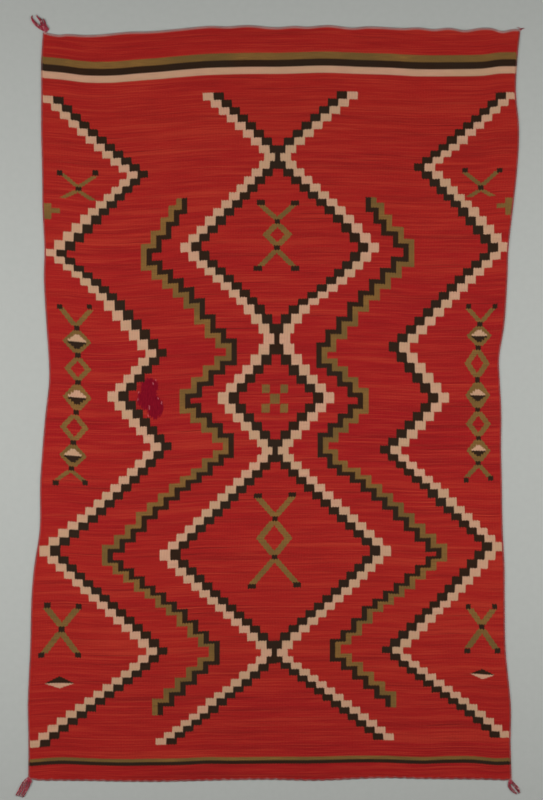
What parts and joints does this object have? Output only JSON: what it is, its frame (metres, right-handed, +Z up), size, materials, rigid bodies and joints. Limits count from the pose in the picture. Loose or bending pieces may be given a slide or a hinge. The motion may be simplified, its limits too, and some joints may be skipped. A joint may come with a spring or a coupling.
{
  "type": "serape",
  "caption": "Flat tapestry-woven wool serape with twined cords round its edge and a small knotted tassel at each corner.",
  "frame": {"origin": "middle of the whole outline, tassels included, on the surface that the serape lies on", "axes": "+Y along the length towards the end with the three wide stripes, +X across to the right as seen from above, +Z up"},
  "size_m": [1.3194, 2.0242, 0.0079],
  "materials": {
    "woven_wool": "matt weft-faced wool",
    "twined_wool": "matt plied wool"
  },
  "bodies": {
    "root": {"serape_cloth": "woven_wool", "end_cord_top": "twined_wool", "end_cord_bottom": "twined_wool", "side_cord_left": "twined_wool", "side_cord_right": "twined_wool", "tassel_top_left": "twined_wool", "tassel_top_right": "twined_wool", "tassel_bottom_left": "twined_wool", "tassel_bottom_right": "twined_wool"}
  },
  "joints": []
}
